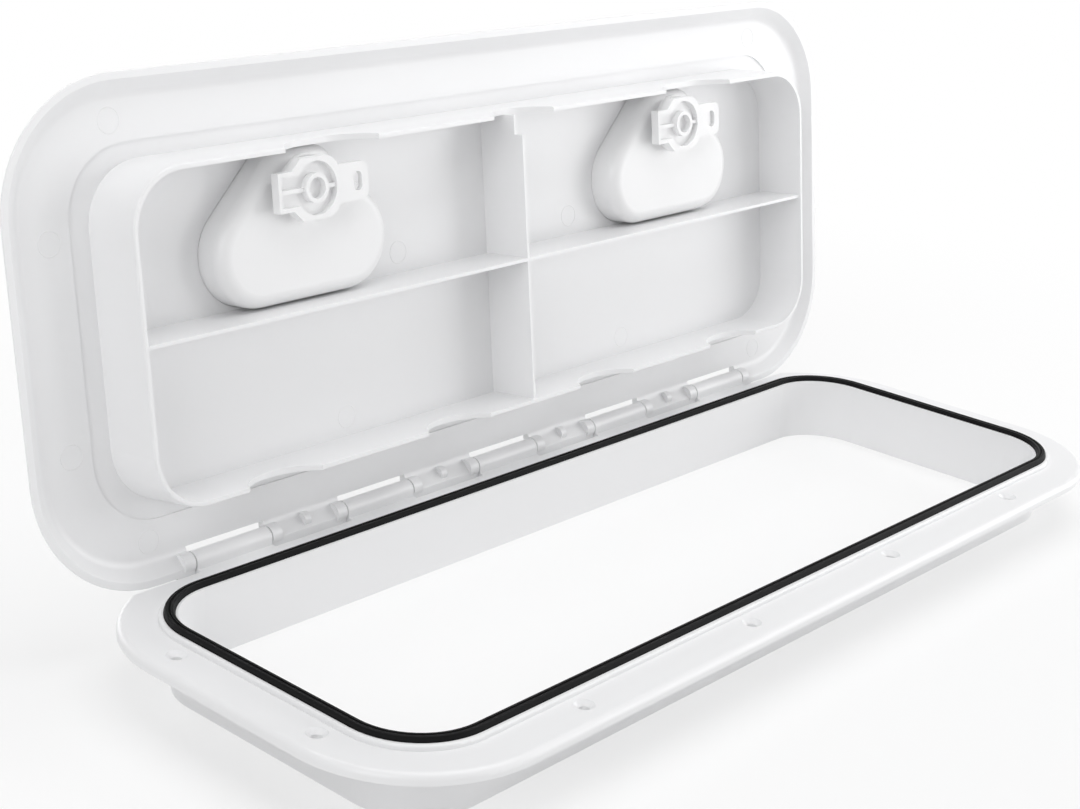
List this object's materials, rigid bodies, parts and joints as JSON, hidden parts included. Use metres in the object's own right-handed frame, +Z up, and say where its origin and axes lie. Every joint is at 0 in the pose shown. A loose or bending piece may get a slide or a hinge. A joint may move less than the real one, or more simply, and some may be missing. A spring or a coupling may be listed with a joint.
{
  "type": "deck access hatch",
  "caption": "Moulded plastic deck access hatch: screw-down frame with coaming and rubber seal, and a hinged ribbed lid with turn latches, standing open.",
  "frame": {"origin": "centre of the clear opening on the deck plane, which is the underside of the frame's flange", "axes": "+X along the hatch, +Y to the hinge side, +Z up out of the deck"},
  "size_m": [0.6066, 0.2661, 0.2692],
  "materials": {
    "white_plastic": "glossy cool white moulding",
    "latch_plastic": "white moulding, a little softer in gloss",
    "black_rubber": "black extruded seal",
    "pin_steel": "stainless pin"
  },
  "bodies": {
    "frame": {"frame": "white_plastic", "gasket": "black_rubber", "hinge_pin_1": "pin_steel", "hinge_pin_2": "pin_steel", "hinge_pin_3": "pin_steel", "hinge_pin_4": "pin_steel", "hinge_pin_5": "pin_steel"},
    "lid": {"lid": "white_plastic", "latch_cup_left": "latch_plastic", "latch_cup_right": "latch_plastic"},
    "latch_left": {"latch_lever_left": "latch_plastic", "latch_cam_left": "latch_plastic"},
    "latch_right": {"latch_lever_right": "latch_plastic", "latch_cam_right": "latch_plastic"}
  },
  "joints": [
    {"name": "lid_hinge", "type": "hinge", "parent": "frame", "child": "lid", "pos_m": [0, 0.11365, 0.008], "axis": [-1, 0, 0], "range_deg": [-97.8, 0]},
    {"name": "latch_left_turn", "type": "hinge", "parent": "lid", "child": "latch_left", "pos_m": [-0.142, 0.12888, 0.17816], "axis": [0, -0.9907, 0.1357], "range_deg": [0, 90]},
    {"name": "latch_right_turn", "type": "hinge", "parent": "lid", "child": "latch_right", "pos_m": [0.142, 0.12888, 0.17816], "axis": [0, -0.9907, 0.1357], "range_deg": [0, 90]}
  ]
}
